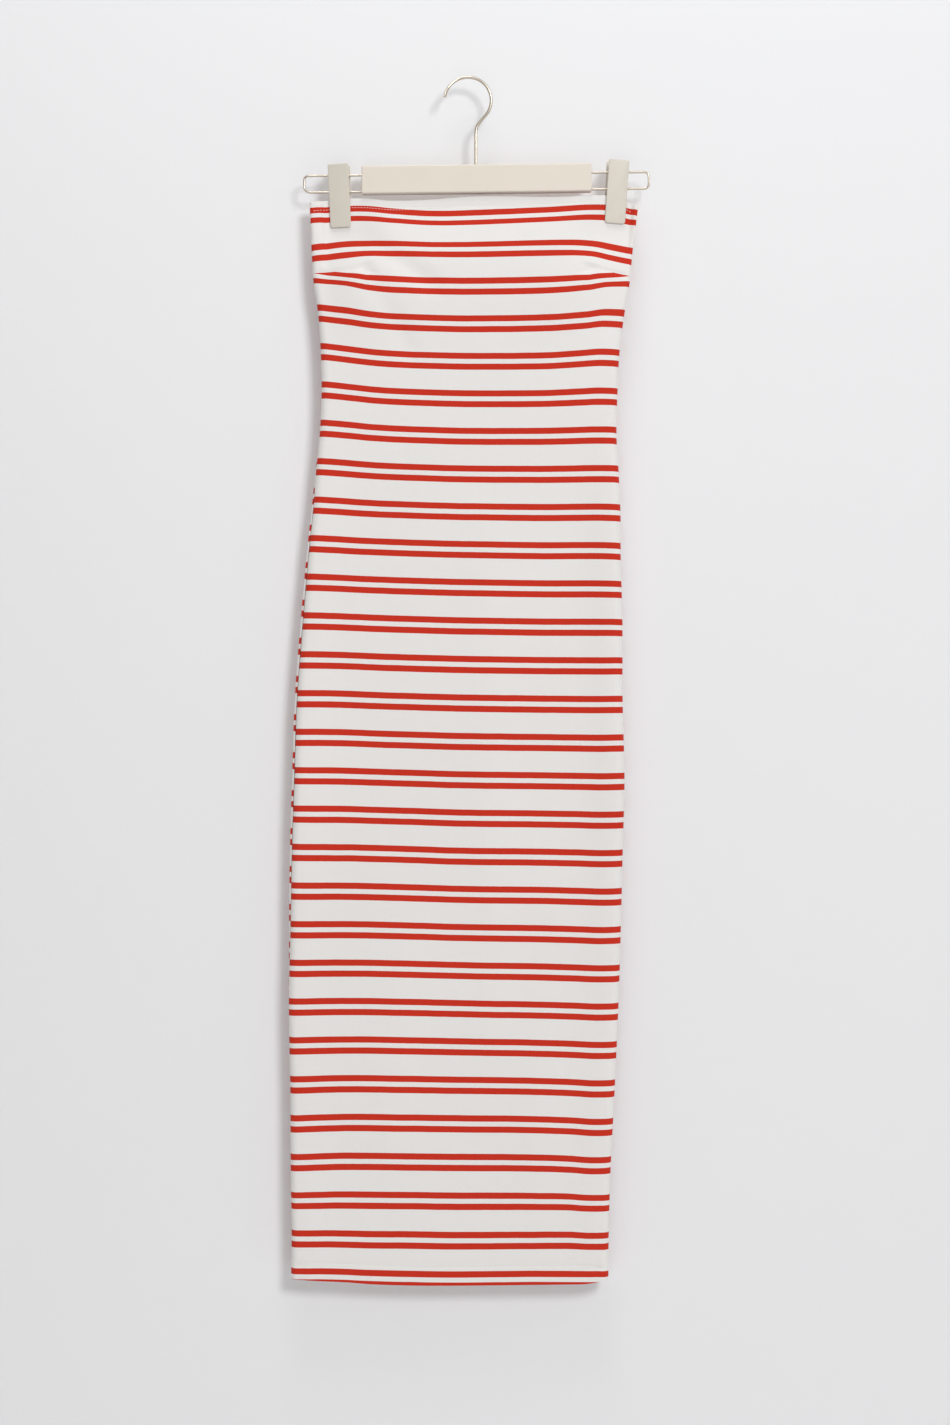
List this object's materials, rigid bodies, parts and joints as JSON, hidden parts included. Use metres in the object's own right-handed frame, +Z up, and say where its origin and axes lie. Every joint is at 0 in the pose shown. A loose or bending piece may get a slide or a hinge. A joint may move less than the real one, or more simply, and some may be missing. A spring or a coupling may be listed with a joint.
{
  "type": "strapless dress on a clip hanger",
  "caption": "Strapless tube-shaped knit dress with bust darts, hung flat by its top edge from a bar hanger with a wire hook and sliding spring clips.",
  "frame": {"origin": "the inside of the hook's top, where the hanger hangs on a rail or a wall hook", "axes": "+Z up, -Y towards the viewer of the dress's front, +X to that viewer's right"},
  "size_m": [0.3844, 0.0259, 1.2853],
  "materials": {
    "knit": "smooth fine double knit, off-white with narrow red stripes in pairs",
    "bar": "smooth moulded plastic, pale beige, satin",
    "clip": "smooth moulded plastic, greige, satin",
    "wire": "satin nickel-plated steel wire with a warm cast",
    "spring": "spring steel strip"
  },
  "bodies": {
    "root": {"dress_front": "knit", "dress_back": "knit", "hanger_bar": "bar", "hanger_frame": "wire", "hanger_hook": "wire", "clip_left_front_jaw": "clip", "clip_left_back_jaw": "clip", "clip_left_spring": "spring", "clip_right_front_jaw": "clip", "clip_right_back_jaw": "clip", "clip_right_spring": "spring"}
  },
  "joints": []
}
